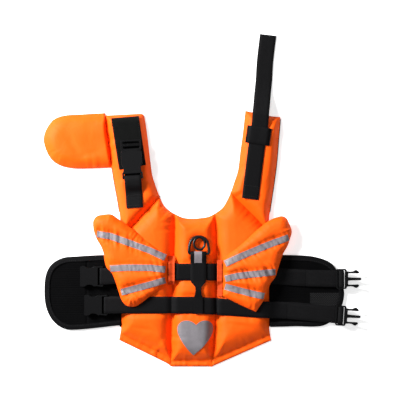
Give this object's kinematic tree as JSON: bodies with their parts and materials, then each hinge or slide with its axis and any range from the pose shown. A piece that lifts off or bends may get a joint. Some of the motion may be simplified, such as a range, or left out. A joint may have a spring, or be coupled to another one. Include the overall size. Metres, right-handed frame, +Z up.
{
  "type": "dog life jacket",
  "caption": "Padded orange dog life jacket laid flat, back up, with two shoulder straps, side wings, a chin flap, black belly panels, belts and side-release buckles.",
  "frame": {"origin": "on the flat underside, below the middle of the centre back panel", "axes": "+Z up out of the table through the jacket's back, +Y towards the neck, +X towards the jacket's right as laid out"},
  "size_m": [0.4773, 0.5011, 0.0246],
  "materials": {
    "orange_nylon": "satin woven nylon",
    "black_lining": "matt woven lining",
    "black_mesh": "ribbed mesh over cloth",
    "black_binding": "matt folded tape",
    "black_webbing": "woven nylon webbing",
    "hook_and_loop": "loop pile",
    "reflective_tape": "grey retroreflective film on cloth",
    "black_plastic": "moulded, slight sheen",
    "black_coated_steel": "black coating, semi-gloss"
  },
  "bodies": {
    "jacket": {"back_centre": "orange_nylon", "back_left": "orange_nylon", "back_right": "orange_nylon", "strap_left": "orange_nylon", "strap_right": "orange_nylon", "chin_flap": "orange_nylon", "wing_left": "orange_nylon", "wing_right": "orange_nylon", "wing_tab_left": "orange_nylon", "wing_tab_right": "orange_nylon", "lining_back": "black_lining", "lining_strap_left": "black_lining", "lining_strap_right": "black_lining", "belly_panel_left": "black_mesh", "belly_panel_right": "black_mesh", "belly_binding_left": "black_binding", "belly_binding_right": "black_binding", "belt_upper": "black_webbing", "belt_lower": "black_webbing", "centre_strap": "black_webbing", "neck_webbing_left": "black_webbing", "neck_webbing_right": "black_webbing", "keeper": "black_webbing", "hook_loop_patch": "hook_and_loop", "tape_left_upper": "reflective_tape", "tape_left_middle": "reflective_tape", "tape_left_lower": "reflective_tape", "tape_right_upper": "reflective_tape", "tape_right_middle": "reflective_tape", "tape_right_lower": "reflective_tape", "heart": "reflective_tape", "centre_tape": "reflective_tape", "buckle_socket_upper": "black_plastic", "buckle_socket_lower": "black_plastic", "buckle_prongs_upper": "black_plastic", "buckle_prongs_lower": "black_plastic", "neck_buckle_socket": "black_plastic", "neck_buckle_prongs": "black_plastic"},
    "ring": {"d_ring": "black_coated_steel"}
  },
  "joints": [
    {"name": "ring_swing", "type": "hinge", "parent": "jacket", "child": "ring", "pos_m": [0.00685, 0.0595, 0.0192], "axis": [1, 0, 0], "range_deg": [0, 95]}
  ]
}
